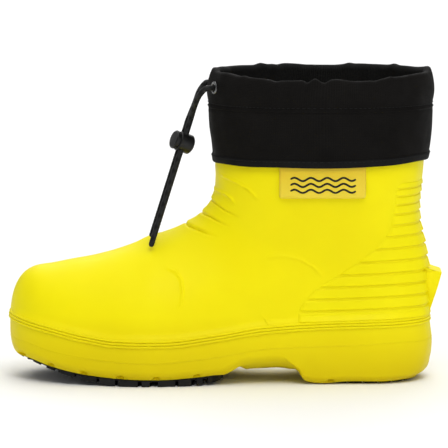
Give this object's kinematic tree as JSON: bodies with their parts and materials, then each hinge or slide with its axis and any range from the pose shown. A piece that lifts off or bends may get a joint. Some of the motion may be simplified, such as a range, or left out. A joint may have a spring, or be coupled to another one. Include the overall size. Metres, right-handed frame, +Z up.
{
  "type": "deck boot",
  "caption": "Ankle-high moulded foam deck boot with rubber treads, fabric cuff, drawcord, sliding cord lock with sprung button, footbed and side label.",
  "frame": {"origin": "on the ground under the middle of the boot", "axes": "+X from toe to heel, +Y towards the inner side of the foot, +Z up"},
  "size_m": [0.3081, 0.1146, 0.2212],
  "materials": {
    "foam": "satin moulded foam",
    "tread_rubber": "matte",
    "footbed_foam": "matte knit over foam",
    "cuff_nylon": "woven nylon",
    "lining_cloth": "woven",
    "binding_tape": "ribbed tape",
    "eyelet_metal": "blackened",
    "cord": "braided",
    "lock_plastic": "satin",
    "spring_steel": "bright",
    "label_tpu": "satin, slightly translucent",
    "mark_ink": "matte"
  },
  "bodies": {
    "root": {"boot_shell": "foam", "forefoot_tread": "tread_rubber", "heel_tread": "tread_rubber", "footbed": "footbed_foam", "cuff_band": "cuff_nylon", "cuff_tunnel": "cuff_nylon", "cuff_lining": "lining_cloth", "hem_binding": "binding_tape", "eyelet_outer_side": "eyelet_metal", "eyelet_inner_side": "eyelet_metal", "eyelet_washer_outer_side": "eyelet_metal", "eyelet_washer_inner_side": "eyelet_metal", "drawcord_in_tunnel": "cord", "drawcord_outer_strand": "cord", "drawcord_inner_strand": "cord", "side_label": "label_tpu", "label_mark": "mark_ink"},
    "cord_lock": {"cord_lock_barrel": "lock_plastic", "cord_lock_spring": "spring_steel"},
    "lock_button": {"cord_lock_button": "lock_plastic"}
  },
  "joints": [
    {"name": "lock_slide", "type": "slide", "parent": "root", "child": "cord_lock", "axis": [-0.2972, -0.2021, -0.9332], "range_m": [-0.003, 0.045]},
    {"name": "button_press", "type": "slide", "parent": "cord_lock", "child": "lock_button", "axis": [0.8654, 0.356, -0.3527], "range_m": [0, 0.0015], "stiffness_N_per_m": 900, "springref_m": -0.0025, "deforming": ["cord_lock_spring"]}
  ]
}
